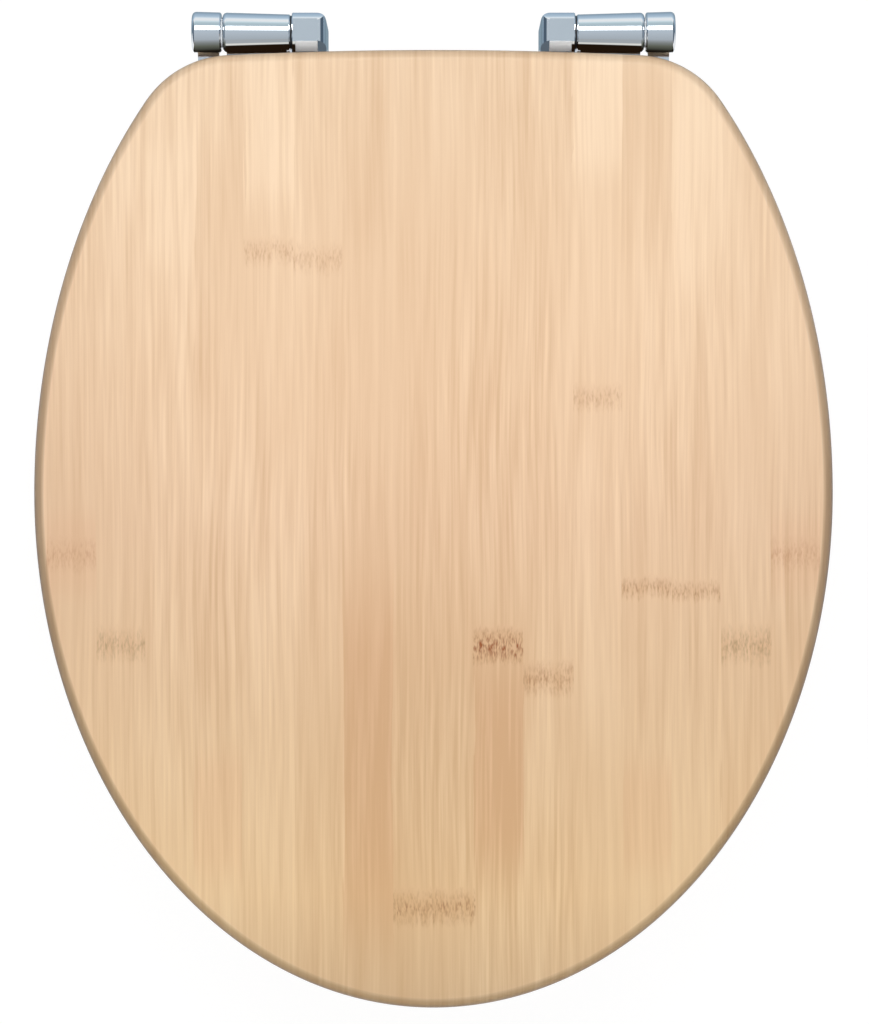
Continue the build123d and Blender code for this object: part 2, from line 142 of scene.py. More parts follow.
def build(name, *skins):
    """One mesh object made of one or more skins, smooth except where faces meet at more than the crease.

    A skin's volume adds up, for each triangle, the determinant of its corners. Where the sum is negative,
    the faces point inwards and are turned round.
    """
    points, faces, start = [], [], 0
    for skin_points, skin_faces in skins:
        first_halves = np.array([face[:3] for face in skin_faces])
        second_halves = np.array([[face[0], face[2], face[-1]] for face in skin_faces])
        volume = np.linalg.det(skin_points[np.vstack([first_halves, second_halves])]).sum()
        order = 1 if volume > 0 else -1
        faces += [[start + i for i in face[::order]] for face in skin_faces]
        points.append(skin_points)
        start += len(skin_points)
    mesh = bpy.data.meshes.new(name)
    mesh.from_pydata(np.vstack(points), [], faces)
    mesh.shade_smooth()
    mesh.set_sharp_from_angle(angle=math.radians(CREASE))
    return new_object(name, mesh)


def dress(piece, body, slot, material, *nodes):
    """Gives a piece its body and finish, and lets it stand for CAD nodes. Its slot is not used."""
    piece.data.materials.clear()
    piece.data.materials.append(material)
    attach(piece, body)
    if nodes:
        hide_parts(*nodes)
    print(piece.name, len(piece.data.polygons), "faces on", body)


def both_sides(name, body, slot, material, *skins):
    """A right-hand piece and its mirrored twin, each standing for its own CAD node of that name."""
    for side, sign in SIDES.items():
        turned_skins = [(points * (sign, 1, 1), faces) for points, faces in skins]
        dress(build(f"{side}_{name}_piece", *turned_skins), body, slot, material, f"{side}_{name}")


print("edges are creased from", CREASE, "degrees")

# %% [markdown]
# Finishes are node trees. One function turns the sRGB hex colours that people read off a swatch into the
# linear numbers that the renderer works in, and one adds a node with its settings and links, so that each
# finish reads as a short recipe. All relief is a bump of the same small depth, at its own strength.

# %% Material helpers
RELIEF_DEPTH = 0.2 * MM


def linear(hex_code):
    """Linear colour of an sRGB hex code such as #C8A27A."""
    srgb = np.array([int(hex_code[i:i + 2], 16) for i in (1, 3, 5)]) / 255
    colour = np.where(srgb <= 0.04045, srgb / 12.92, ((srgb + 0.055) / 1.055) ** 2.4)
    return (*colour.tolist(), 1.0)


def add(tree, kind, inputs=None, **settings):
    """Outputs of a new node of a kind, with its settings, and each input set to a value or linked."""
    node = tree.nodes.new("ShaderNode" + kind)
    for setting, value in settings.items():
        setattr(node, setting, value)
    for socket, value in (inputs or {}).items():
        if isinstance(value, bpy.types.NodeSocket):
            tree.links.new(value, node.inputs[socket])
        else:
            node.inputs[socket].default_value = value
    return node.outputs


def set_tones(ramp, tones):
    """Gives a colour ramp its tones: the first and last at its ends, the others at their places between."""
    stops = ramp["Color"].node.color_ramp.elements
    stops[0].color = linear(tones[0][1])
    stops[1].color = linear(tones[-1][1])
    for place, tone in tones[1:-1]:
        stops.new(place).color = linear(tone)


def finish(name, **sockets):
    """A new material with its tree and shader, whose sockets are set from named values."""
    material = bpy.data.materials.new(name)
    material.use_nodes = True
    shader = material.node_tree.nodes["Principled BSDF"]
    for socket, value in sockets.items():
        shader.inputs[socket.replace("_", " ")].default_value = value
    return material, material.node_tree, shader


print("a grey of #808080 is", round(linear("#808080")[0], 3), "in linear light")

# %% [markdown]
# Bamboo board: strips of split cane glued edge to edge, sanded and given a satin lacquer. The strips run
# from front to back, are a little under 23 mm wide, and differ in tone along their length. Fine fibres run
# along them, and the knuckles of the cane cross them as short ragged marks. A picture of bamboo would be
# quicker, but it would carry one light and one size: here every size is a real one, in millimetres, on
# Object coordinates. The stains and knuckles are placed one by one, as a maker would choose strips.

# %% Bamboo sizes and tones
STRIP_WIDTH = 22.8
FIRST_JOINT = 19.0
# Sizes of the patterns across, along and through the board, in millimetres
DRIFT_SIZE = (70, 150, 40)
FIBRE_SIZE = (1.5, 60, 30)
BAND_SIZE = (5.0, 130, 30)
STROKE_SIZE = (0.75, 2.8, 30)
PORE_SIZE = (0.8, 12, 30)
# The strips' own tones: in strips across, so that neighbours are unlike, and in millimetres along
STRIP_TONE_SIZE = (1 / 5.37, 140, 1)
WANDER = 5.0
FRAY = 5.0
KNUCKLE_FRAY = 10.0
DARK_MIDDLE = 110
RING_SHIFT = (3 * STRIP_WIDTH, 70, 200)
# The ground's tones by their place from front to rear of the lid: wood tone, with painted sheen at the rear
GROUND_TONES_AND_SHEEN = ((0, "#EBCBA0"), (0.12, "#FEDBAB"), (0.5, "#F8D5B1"), (1, "#F4D7B5"))
BROWN_TINT = "#E6DACD"
BLUSH_TINT = "#F8E4DC"
# Tint of the painted shade on the rounded edges, strongest at the sides
EDGE_SHADE_TINT = "#C4C2BD"
# Tint of the darker painted shade on the steepest part of the edges
RIM_SHADE_TINT = "#8C7661"
# How deep each pattern browns the wood
GROUND_DEPTH = -0.05
BAND_DEPTH = 0.6
STRIP_DEPTH = 0.3
MIDDLE_DEPTH = 0.24
KNUCKLE_DEPTH = 0.5
# As the drift goes from calm to lively, the fibres grow stronger
CALM_DRIFT, LIVELY_DRIFT = 0.35, 0.65
CALM_FIBRES, LIVELY_FIBRES = 0.5, 1.7
STROKE_START, STROKE_FULL = 0.4, 0.78
# A spot reaches less than one strip each way, so that it stays on its own
SPOT_WIDTH = 0.7
# A stain has its full depth where its spot is over this
STAIN_FULL = 0.6
PORE_STRENGTH = 0.08
print("strips of", STRIP_WIDTH, "mm")

# %% Stains and knuckles
# Each stain: strip number from the middle, first and last row of the picture that it spans, and its depth
LID_STAINS = (
    (-3, 10, 230, -0.34), (-5, 120, 290, -0.2), (3, 10, 200, -0.32), (5, 30, 330, -0.2),
    (-3, 470, 930, -0.15), (3, 420, 780, -0.15), (-4, 70, 430, 0.16), (-1, 30, 280, 0.16),
    (1, 70, 230, 0.12), (4, 30, 280, 0.18), (-1, 540, 1010, 0.24), (0, 540, 980, 0.2),
    (1, 600, 940, 0.28), (-4, 490, 730, 0.22), (6, 570, 930, 0.18),
)
LID_BLUSHES = (
    (-4, 730, 900, 0.22), (4, 740, 890, 0.22), (-1, 520, 1000, 0.3), (1, 640, 900, 0.3),
    (-7, 500, 610, 0.2), (7, 500, 610, 0.2),
)
# Each knuckle, by the tint of its strokes: strip number, row of the picture, half height in mm, and depth
LID_KNUCKLES = {
    "#B0743A": ((-3, 252, 3.5, 0.4), (-2, 260, 4.0, 0.35), (3, 398, 3.5, 0.4), (4, 587, 2.6, 0.65),
                (5, 591, 2.6, 0.6), (1, 645, 4.5, 1.4), (2, 678, 4.5, 0.65), (0, 907, 4.5, 0.75)),
    "#BC6C33": ((-7, 555, 4.5, 0.35), (7, 555, 4.5, 0.35)),
    "#A0906A": ((-6, 645, 4.5, 0.5), (6, 645, 5.0, 0.6)),
}


def along_lid(row):
    """Distance along the lid, in millimetres, of a row of the picture."""
    return lid_place(0, row)[1] / MM


print(len(LID_STAINS), "stains,", sum(map(len, LID_KNUCKLES.values())), "knuckles")

# %% Bamboo patterns


def stretched_noise(tree, where, size, detail, **settings):
    """Noise whose grains have their own size along each axis."""
    scaled = add(tree, "Mapping", {"Vector": where, "Scale": [1 / s for s in size]})[0]
    return add(tree, "TexNoise", {"Vector": scaled, "Scale": 1.0, "Detail": detail}, **settings)["Fac"]


def strip_spot(tree, where, strip_number, middle, reach):
    """A spot on one strip, which falls from one in its middle to nought at its reach along the strip."""
    local = add(tree, "Mapping", {"Vector": where, "Location": (strip_number, middle, 0),
                                  "Scale": (SPOT_WIDTH, reach, 1)}, vector_type="TEXTURE")[0]
    return add(tree, "TexGradient", {"Vector": local}, gradient_type="SPHERICAL")["Fac"]


def strips(tree, place, fibres):
    """Distance from the middle, with frayed joints, and a vector of strip number and place along the strip.

    Strips are counted outwards from the middle one, and the numbers of the left ones are negative.
    """
    frayed = add(tree, "Math", {0: fibres, 1: FRAY, 2: place["X"]}, operation="MULTIPLY_ADD")[0]
    across = add(tree, "Math", {0: frayed, 1: FRAY / 2}, operation="SUBTRACT")[0]
    across = add(tree, "Math", {0: across}, operation="ABSOLUTE")[0]
    count = add(tree, "Math", {0: across, 1: 1 / STRIP_WIDTH, 2: -FIRST_JOINT / STRIP_WIDTH},
                operation="MULTIPLY_ADD")[0]
    number = add(tree, "Math", {0: count}, operation="CEIL")[0]
    side = add(tree, "Math", {0: place["X"]}, operation="SIGN")[0]
    signed = add(tree, "Math", {0: number, 1: side}, operation="MULTIPLY")[0]
    return across, add(tree, "CombineXYZ", {"X": signed, "Y": place["Y"]})[0]


def stained(tree, strip, amount, stains):
    """An amount, raised or lowered by soft stains along strips."""
    for strip_number, first_row, last_row, weight in stains:
        rear, front = along_lid(first_row), along_lid(last_row)
        spot = strip_spot(tree, strip, strip_number, (rear + front) / 2, (rear - front) / 2)
        soft = add(tree, "MapRange", {"Value": spot, "From Max": STAIN_FULL},
                   interpolation_type="SMOOTHSTEP")[0]
        amount = add(tree, "Math", {0: soft, 1: weight, 2: amount}, operation="MULTIPLY_ADD")[0]
    return amount


print("fibres of", FIBRE_SIZE[0], "by", FIBRE_SIZE[1], "mm")

# %% Bamboo


def bamboo_board(name, shift):
    """Lacquered bamboo: a pale ground browned by fibres, strips, stains and knuckles, with painted sheen and
    edge shade.
    """
    material, tree, shader = finish(name, IOR=1.5, Roughness=0.4)
    where = add(tree, "TexCoord")["Object"]
    board = add(tree, "Mapping", {"Vector": where, "Location": shift, "Scale": [1 / MM] * 3})[0]
    place = add(tree, "SeparateXYZ", {0: board})

    # Fibres wander sideways by a millimetre or two
    drift = stretched_noise(tree, board, DRIFT_SIZE, 1.0)
    sideways = add(tree, "Math", {0: drift, 1: WANDER, 2: -WANDER / 2}, operation="MULTIPLY_ADD")[0]
    sway = add(tree, "CombineXYZ", {"X": sideways})[0]
    flow = add(tree, "VectorMath", {0: board, 1: sway}, operation="ADD")[0]
    fibres = stretched_noise(tree, flow, FIBRE_SIZE, 2.0)
    bands = stretched_noise(tree, flow, BAND_SIZE, 1.0)
    strokes = stretched_noise(tree, flow, STROKE_SIZE, 1.0)

    # Each strip takes its own tone, which changes along it, and the strips in the middle are darkest
    across, strip = strips(tree, place, fibres)
    tones = stretched_noise(tree, strip, STRIP_TONE_SIZE, 0.0, noise_dimensions="2D")
    heart = add(tree, "MapRange", {"Value": across, "From Max": DARK_MIDDLE, "To Min": 1.0, "To Max": 0.0},
                interpolation_type="SMOOTHSTEP")[0]

    # All that browns the wood adds up to one depth, with fibres that show more in some places than in others
    strength = add(tree, "MapRange", {"Value": drift, "From Min": CALM_DRIFT, "From Max": LIVELY_DRIFT,
                                      "To Min": CALM_FIBRES, "To Max": LIVELY_FIBRES})[0]
    centred = add(tree, "Math", {0: fibres, 1: 0.5}, operation="SUBTRACT")[0]
    depth = add(tree, "Math", {0: centred, 1: strength, 2: GROUND_DEPTH}, operation="MULTIPLY_ADD")[0]
    for pattern, weight in ((bands, BAND_DEPTH), (tones, STRIP_DEPTH), (heart, MIDDLE_DEPTH)):
        depth = add(tree, "Math", {0: pattern, 1: weight, 2: depth}, operation="MULTIPLY_ADD")[0]
    depth = stained(tree, strip, depth, LID_STAINS)
    blush = stained(tree, strip, 0.0, LID_BLUSHES)

    # Knuckles: a band of short dark strokes across a strip, with a ragged outline
    lengthwise = add(tree, "Math", {0: fibres, 1: KNUCKLE_FRAY, 2: -KNUCKLE_FRAY / 2},
                     operation="MULTIPLY_ADD")[0]
    ragged = add(tree, "CombineXYZ", {"Y": lengthwise})[0]
    jagged = add(tree, "VectorMath", {0: strip, 1: ragged}, operation="ADD")[0]
    stroke = add(tree, "MapRange", {"Value": strokes, "From Min": STROKE_START, "From Max": STROKE_FULL})[0]
    inks = []
    for tint, knuckles in LID_KNUCKLES.items():
        mark = 0.0
        for strip_number, row, half_height, weight in knuckles:
            spot = strip_spot(tree, jagged, strip_number, along_lid(row), 2 * half_height)
            mark = add(tree, "Math", {0: spot, 1: weight, 2: mark}, operation="MULTIPLY_ADD")[0]
        depth = add(tree, "Math", {0: mark, 1: KNUCKLE_DEPTH, 2: depth}, operation="MULTIPLY_ADD")[0]
        inks.append((add(tree, "Math", {0: mark, 1: stroke}, operation="MULTIPLY")[0], tint))

    # The ground: the wood's tone, yellower to the front and darkest at its front end, with painted sheen at
    # the rear
    ends = {"From Min": lid_low.y / MM, "From Max": lid_high.y / MM}
    length = add(tree, "MapRange", {"Value": place["Y"], **ends})[0]
    ground = add(tree, "ValToRGB", {"Fac": length})
    set_tones(ground, GROUND_TONES_AND_SHEEN)
    colour = ground["Color"]
    # Each tint multiplies the ground; the last two are painted shade on the rounded edges, stored on the mesh
    edge_shade = add(tree, "Attribute", attribute_name="edge_shade")["Fac"]
    rim = add(tree, "Attribute", attribute_name="rim")["Fac"]
    for amount, tint in ((depth, BROWN_TINT), (blush, BLUSH_TINT), *inks, (edge_shade, EDGE_SHADE_TINT), (rim, RIM_SHADE_TINT)):
        colour = add(tree, "Mix", {0: amount, 6: colour, 7: linear(tint)}, data_type="RGBA",
                     blend_type="MULTIPLY")[2]
    tree.links.new(colour, shader.inputs["Base Color"])
    pores = stretched_noise(tree, board, PORE_SIZE, 0.0)
    relief = add(tree, "Bump", {"Height": pores, "Strength": PORE_STRENGTH, "Distance": RELIEF_DEPTH})[0]
    tree.links.new(relief, shader.inputs["Normal"])
    return material


lid_bamboo = bamboo_board("lacquered_bamboo_lid", (0, 0, 0))
ring_bamboo = bamboo_board("lacquered_bamboo_ring", RING_SHIFT)
print(lid_bamboo.name, len(lid_bamboo.node_tree.nodes), "nodes")

# %% [markdown]
# Chrome on a zinc casting: polished, copper plated, nickel plated, then a thin layer of chromium. It
# mirrors the room, with a slight orange peel that the casting keeps under the plating.

# %% Chromed zinc
WIPE_SIZE = 6 * MM
PEEL_SIZE = 3 * MM
PEEL_STRENGTH = 0.03
chrome, tree, shader = finish("chromed_zinc_casting", Metallic=1.0, Base_Color=linear("#E3E6EA"))
where = add(tree, "TexCoord")["Object"]
wipe = add(tree, "TexNoise", {"Vector": where, "Scale": 1 / WIPE_SIZE, "Detail": 2.0})["Fac"]
gloss = add(tree, "MapRange", {"Value": wipe, "To Min": 0.03, "To Max": 0.08})[0]
tree.links.new(gloss, shader.inputs["Roughness"])
peel = add(tree, "TexNoise", {"Vector": where, "Scale": 1 / PEEL_SIZE, "Detail": 1.0})["Fac"]
relief = add(tree, "Bump", {"Height": peel, "Strength": PEEL_STRENGTH, "Distance": RELIEF_DEPTH})[0]
tree.links.new(relief, shader.inputs["Normal"])
print(chrome.name)

# %% [markdown]
# Zinc-plated steel is what bolts and screws are made of: a bright grey with a faint blue and yellow cast,
# duller than chrome, because the plating is a layer of fine crystals. Its tone and its shine both follow
# those crystals, so one noise drives both.

# %% Zinc-plated steel
CRYSTAL_SIZE = 1.5
ZINC_TONES = ((0, "#A9B0B8"), (1, "#C9C7BC"))


def grained(name, grain, detail, tones, shine, **sockets):
    """A finish whose tone and shine follow one grain, of a size in millimetres, and that grain's noise."""
    material, tree, shader = finish(name, **sockets)
    where = add(tree, "TexCoord")["Object"]
    scale = 1 / (grain * MM)
    texture = add(tree, "TexNoise", {"Vector": where, "Scale": scale, "Detail": detail})["Fac"]
    ramp = add(tree, "ValToRGB", {"Fac": texture})
    set_tones(ramp, tones)
    tree.links.new(ramp["Color"], shader.inputs["Base Color"])
    gloss = add(tree, "MapRange", {"Value": texture, "To Min": shine[0], "To Max": shine[1]})[0]
    tree.links.new(gloss, shader.inputs["Roughness"])
    return material, texture


zinc, _ = grained("zinc_plated_steel", CRYSTAL_SIZE, 4.0, ZINC_TONES, (0.25, 0.42), Metallic=1.0)
print(zinc.name)

# %% [markdown]
# The plastics and rubbers are all moulded, so they share one recipe: a nearly even colour, a fine grain
# from the mould, in slight relief, and a shine that varies a little with it. Only the numbers differ.

# %% Moulded plastics and rubbers
SHINE_SPREAD = 0.06
MOULD_STRENGTH = 0.06
# Each finish: its name, light and dark tone, grain in millimetres, roughness and index of refraction
MOULDED = {
    "white_plastic": ("moulded_white_nylon", "#F4F7F9", "#E9EDF0", 0.8, 0.32, 1.53),
    "black_plastic": ("moulded_black_acetal", "#15161A", "#202226", 0.8, 0.35, 1.48),
    "grey_rubber": ("moulded_grey_rubber", "#5B5D60", "#4A4C50", 1.2, 0.7, 1.52),
    "clear_rubber": ("moulded_clear_elastomer", "#E9E9E3", "#DEDED6", 2.0, 0.4, 1.45),
}
CLEARNESS = {"clear_rubber": 0.6}
moulded = {}
for slot, (name, light_tone, dark_tone, grain, shine, index) in MOULDED.items():
    moulded[slot], texture = grained(name, grain, 3.0, ((0, dark_tone), (1, light_tone)),
                                     (shine - SHINE_SPREAD, shine + SHINE_SPREAD), IOR=index,
                                     Transmission_Weight=CLEARNESS.get(slot, 0.0))
    tree = moulded[slot].node_tree
    relief = add(tree, "Bump", {"Height": texture, "Strength": MOULD_STRENGTH, "Distance": RELIEF_DEPTH})[0]
    tree.links.new(relief, tree.nodes["Principled BSDF"].inputs["Normal"])
print(sorted(moulded))

# %% [markdown]
# The lid is one board with a rounded edge. Its outline is two half ellipses that meet at the widest line,
# cut off by a gently bowed rear edge whose corners are rounded. The edge section, a large round above and a
# small one below, is carried along that outline: each ring of points is the outline moved inwards along its
# normals. A bevelled extrusion would look alike, but this way the rings follow the wood's edge exactly.

# %% Board outlines
LID_REAR_DEPTH = 205.0 * MM
REAR_SEMI_AXIS = 261.5 * MM
REAR_BOW = 1900.0 * MM
REAR_CORNER = 48.0 * MM
OUTLINE_POINTS = 960
ELLIPSE_STEPS = 4001
FRONT_STEPS = 1500
ARC_STEPS = 400
widest_line = lid_high.y - LID_REAR_DEPTH


def circle(turns):
    """Points of the unit circle at given angles."""
    return np.stack([np.cos(turns), np.sin(turns)], axis=-1)


def evenly(points, count):
    """A closed outline's points, spaced evenly along its length."""
    closed = np.vstack([points, points[:1]])
    length = np.concatenate([[0], np.cumsum(np.hypot(*np.diff(closed, axis=0).T))])
    marks = np.linspace(0, length[-1], count, endpoint=False)
    return np.stack([np.interp(marks, length, closed[:, k]) for k in range(2)], axis=-1)


def outward(points):
    """Unit normals of an outline that runs counter-clockwise: each chord between neighbours, turned right."""
    chord = np.roll(points, -1, axis=0) - np.roll(points, 1, axis=0)
    normal = np.stack([chord[:, 1], -chord[:, 0]], axis=-1)
    return normal / np.linalg.norm(normal, axis=1, keepdims=True)


def egg_outline(half_width, front, rear_semi_axis, rear_edge):
    """Right half of the egg from its front tip to its rear middle, mirrored to a closed outline.

    The corner's centre lies one corner radius inside the rear ellipse, and one bow radius less a corner
    radius from the bow's centre: the place along the ellipse where both hold is found by interpolation.
    """
    middle = np.array([0, widest_line])
    turn = np.linspace(0, math.pi / 2, ELLIPSE_STEPS)
    ellipse = middle + (half_width, rear_semi_axis) * circle(turn)
    normal = (rear_semi_axis, half_width) * circle(turn)
    normal /= np.linalg.norm(normal, axis=1, keepdims=True)
    centres = ellipse - REAR_CORNER * normal
    bow_centre = np.array([0, rear_edge - REAR_BOW])
    miss = np.linalg.norm(centres - bow_centre, axis=1) - (REAR_BOW - REAR_CORNER)
    meeting = np.interp(0, miss, turn)
    corner, corner_normal = (
        np.array([np.interp(meeting, turn, values[:, k]) for k in range(2)]) for values in (centres, normal)
    )
    start = math.atan2(*corner_normal[::-1])
    end = math.atan2(*(corner - bow_centre)[::-1])
    right = np.vstack([
        middle + (half_width, front) * circle(np.linspace(-math.pi / 2, 0, FRONT_STEPS)),
        ellipse[turn < meeting][1:],
        corner + REAR_CORNER * circle(np.linspace(start, end, ARC_STEPS)),
        bow_centre + REAR_BOW * circle(np.linspace(end, math.pi / 2, ARC_STEPS))[1:],
    ])
    left = right[-2:0:-1] * (-1, 1)
    return np.vstack([right, left])


lid_outline = evenly(
    egg_outline(lid_high.x, widest_line - lid_low.y, REAR_SEMI_AXIS, lid_high.y), OUTLINE_POINTS
)
print("outline", lid_outline.min(0), lid_outline.max(0))

# %% Board edges
EDGE_STEPS = 14
DRAWN_IN = np.array([0.996, 0.96, 0.8, 0.6, 0.4, 0.2])
# How strongly painted shade darkens an edge, by the way it faces: from straight ahead, -1, to straight back,
# 1
SHADE_BY_FACING = {-1: 0.55, -0.6: 0.9, 0: 1, 0.25: 0.72, 0.6: 0.4, 1: 0.1}
# The painted edge shade is full from this steepness, and rises towards it at this power
FULL_SHADE_STEEPNESS = 0.35
EDGE_SHADE_POWER = 0.7
# The rim's painted shade is the steepness to this power, raised towards the rear so only upright faces darken
RIM_SHADE_POWER = 6
REAR_RIM_SHADE_POWER = 30


def edge_section(low, high, low_round, high_round, steps=EDGE_STEPS):
    """Inset, height and steepness of a board's edge, over two quarter rounds from the top's rim down."""
    turn = np.linspace(0, math.pi / 2, steps)
    sine, cosine = np.sin(turn), np.cos(turn)
    top = np.stack([high_round * (1 - sine), high - high_round * (1 - cosine), sine], axis=-1)
    bottom = np.stack([low_round * (1 - cosine), low + low_round * (1 - sine), cosine], axis=-1)
    return np.vstack([top, bottom])


def rings(outline, section, inwards=1):
    """The outline moved inwards (or outwards, for an opening) by each inset of a section, at its height."""
    flat = outline[None] - inwards * section[:, :1, None] * outward(outline)[None]
    height = np.broadcast_to(section[:, 1, None, None], (*flat.shape[:2], 1))
    return np.concatenate([flat, height], axis=-1)


def slab(outline, section, centre):
    """A closed board: its edge rings, with both rims drawn in to the centre in a few steps."""
    edge = rings(outline, section)
    top_pole, bottom_pole = (np.array([*centre, rim[0, 2]]) for rim in (edge[0], edge[-1]))
    top = top_pole + DRAWN_IN[:, None, None] * (edge[0] - top_pole)
    bottom = bottom_pole + DRAWN_IN[:, None, None] * (edge[-1] - bottom_pole)
    return skin(np.concatenate([top[::-1], edge, bottom]), first_pole=top_pole, last_pole=bottom_pole)


def paint_edge_shade(piece, steepness, outline, share):
    """Stores painted shade on a board's rounded edge, most at its sides, and darker painted shade on its rim.

    The edge shade rises quickly with the steepness of each ring and is scaled by the way each column faces.
    The rim shade is a power of the steepness, which grows towards the rear.
    """
    facing = outward(outline)[:, 1]
    shade_by_facing = np.interp(facing, list(SHADE_BY_FACING), list(SHADE_BY_FACING.values()))
    edge_shade = np.clip(steepness / FULL_SHADE_STEEPNESS, 0, 1) ** EDGE_SHADE_POWER
    rim = steepness[:, None] ** (RIM_SHADE_POWER + (REAR_RIM_SHADE_POWER - RIM_SHADE_POWER) * np.clip(facing, 0, 1))
    for name, values in (("edge_shade", np.outer(edge_shade, shade_by_facing)), ("rim", rim)):
        padded = np.zeros(len(piece.data.vertices))
        padded[:values.size] = share * values.ravel()
        piece.data.attributes.new(name, "FLOAT", "POINT").data.foreach_set("value", padded)


print("edge rounds of", EDGE_STEPS, "rings each")

# %% Lid
LID_BOTTOM_ROUND = 3.0 * MM
# Strength of the painted shade on the lid's rounded edge
LID_EDGE_SHADE = 1.0
lid_edge = edge_section(lid_low.z, lid_high.z, LID_BOTTOM_ROUND, LID_TOP_ROUND)
lid = build("lid_board", slab(lid_outline, lid_edge, np.array([0, widest_line])))
flat_rings = np.zeros(len(DRAWN_IN))
paint_edge_shade(lid, np.concatenate([flat_rings, lid_edge[:, 2], flat_rings]), lid_outline, LID_EDGE_SHADE)
dress(lid, "lid", "bamboo", lid_bamboo, "lid")

# %% [markdown]
# The seat ring is a thicker board with an oval opening. Its outer outline is the lid's, a little inside it,
# and both edges have a large round on top, where legs rest, and a small one below. Outer and inner outlines
# are read at the same angles about the opening's middle, so that one closed section can run round the ring.

# %% Seat ring
RING_INSET = 3.0 * MM
RING_TOP_ROUND = 7.0 * MM
RING_BOTTOM_ROUND = 3.0 * MM
# Strength of the painted shade on the ring's rounded edges
RING_EDGE_SHADE = 0.5
OPENING_MIDDLE = np.array([0, -236.05 * MM])
OPENING_HALF_WIDTH = 114.0 * MM
OPENING_FRONT = 145.7 * MM
OPENING_REAR = 134.6 * MM
RING_POINTS = 720
OPENING_POINTS = 8 * RING_POINTS
ring_low, ring_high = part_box("seat_ring")


def by_angle(outline, centre, turns):
    """Points of an outline at given angles about a point inside it: its distance is interpolated by angle."""
    away = outline - centre
    angle = np.arctan2(away[:, 1], away[:, 0])
    order = np.argsort(angle)
    angles = np.concatenate([angle[order] - 2 * math.pi, angle[order], angle[order] + 2 * math.pi])
    reach = np.interp(turns, angles, np.tile(np.hypot(*away[order].T), 3))
    return centre + reach[:, None] * circle(turns)


def band(outer, inner, section):
    """A closed band between two outlines of as many points, with one edge section at both."""
    return skin(np.concatenate([rings(outer, section), rings(inner, section, -1)[::-1]]), loop=True)


ring_turns = np.linspace(0, 2 * math.pi, RING_POINTS, endpoint=False)
ring_outline = by_angle(
    egg_outline(ring_high.x, widest_line - ring_low.y, REAR_SEMI_AXIS - RING_INSET, ring_high.y),
    OPENING_MIDDLE, ring_turns,
)
fine_turns = np.linspace(0, 2 * math.pi, OPENING_POINTS, endpoint=False)
opening_depth = np.where(np.sin(fine_turns) > 0, OPENING_REAR, OPENING_FRONT)
semi_axes = np.stack(np.broadcast_arrays(OPENING_HALF_WIDTH, opening_depth), axis=-1)
opening_outline = by_angle(OPENING_MIDDLE + semi_axes * circle(fine_turns), OPENING_MIDDLE, ring_turns)
ring_edge = edge_section(ring_low.z, ring_high.z, RING_BOTTOM_ROUND, RING_TOP_ROUND)
ring = build("seat_ring_board", band(ring_outline, opening_outline, ring_edge))
paint_edge_shade(ring, np.concatenate([ring_edge[:, 2], ring_edge[::-1, 2]]), ring_outline, RING_EDGE_SHADE)
dress(ring, "seat", "bamboo", ring_bamboo, "seat_ring")

# %% [markdown]
# Bolts, screws, nuts and washers are turned: each height has a radius, carried once round an upright axis. A
# thread is the same with a radius that also climbs with the angle. A Screw modifier makes threads too, but
# this way they fade out at both ends as rolled threads do. Left and right bolts are set apart, not mirrored,
# because a mirrored thread would turn the wrong way.

# %% Turned pieces
ROUND = 64
THREAD_ROWS = 8
around = np.linspace(0, 2 * math.pi, ROUND, endpoint=False)
# A plain round row is its radius times this one
even_row = np.ones((1, ROUND))


def turned(axis, heights, radii):
    """Grid about an upright axis: a height for each row, and a radius for each row or for each point."""
    heights = np.asarray(heights, float)
    reach = np.broadcast_to(np.reshape(radii, (len(heights), -1)), (len(heights), ROUND))
    level = np.broadcast_to(heights[:, None], reach.shape)
    return np.stack([axis[0] + reach * np.cos(around), axis[1] + reach * np.sin(around), level], axis=-1)


def thread(top, bottom, core, ridge, pitch):
    """Heights and radii of a right-hand thread.

    The radius is the core plus a triangle wave of the height in pitches less the turn, faded at both ends.
    """
    heights = np.linspace(top, bottom, round((top - bottom) / pitch * THREAD_ROWS))
    wave = 1 - np.abs(2 * ((heights[:, None] / pitch - around / (2 * math.pi)) % 1) - 1)
    fade = np.clip(np.minimum(top - heights, heights - bottom) / pitch, 0, 1)
    return heights, core + ridge * wave * fade[:, None]


def ring_section(low, high, bore, low_rim, high_rim, cut, rim_cut):
    """Radii and heights of a ring's closed section, its four corners cut off by small flats."""
    section = [(bore, low + cut), (bore + cut, low), (low_rim - rim_cut, low), (low_rim, low + cut),
               (high_rim, high - cut), (high_rim - rim_cut, high), (bore + cut, high), (bore, high - cut)]
    return np.transpose(section)


print("turned rings have", ROUND, "points")

# %% Mounting bolts
FOOT_TOP = 7.5 * MM
FOOT_BOTTOM = 1.5 * MM
NECK_HALF = 4.0 * MM
NECK_SQUARENESS = 14
SHANK_RADIUS = 4.0 * MM
THREAD_TOP = -24.0 * MM
THREAD_PITCH = 1.25 * MM
THREAD_CORE = 3.25 * MM
THREAD_RIDGE = 0.7 * MM
TIP_LENGTH = 1.0 * MM
TIP_RADIUS = 2.6 * MM
DOME_STEPS = np.linspace(0.08, 1, 12)
bolt_low, bolt_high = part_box("right_mounting_bolt")
bolt_place = (bolt_low.x + bolt_high.x) / 2
head_radius = (bolt_high.x - bolt_low.x) / 2
head_height = bolt_high.z - FOOT_TOP
dome_radius = (head_radius ** 2 + head_height ** 2) / (2 * head_height)
dome_reach = head_radius * DOME_STEPS
dome_heights = bolt_high.z - dome_radius + np.sqrt(dome_radius ** 2 - dome_reach ** 2)
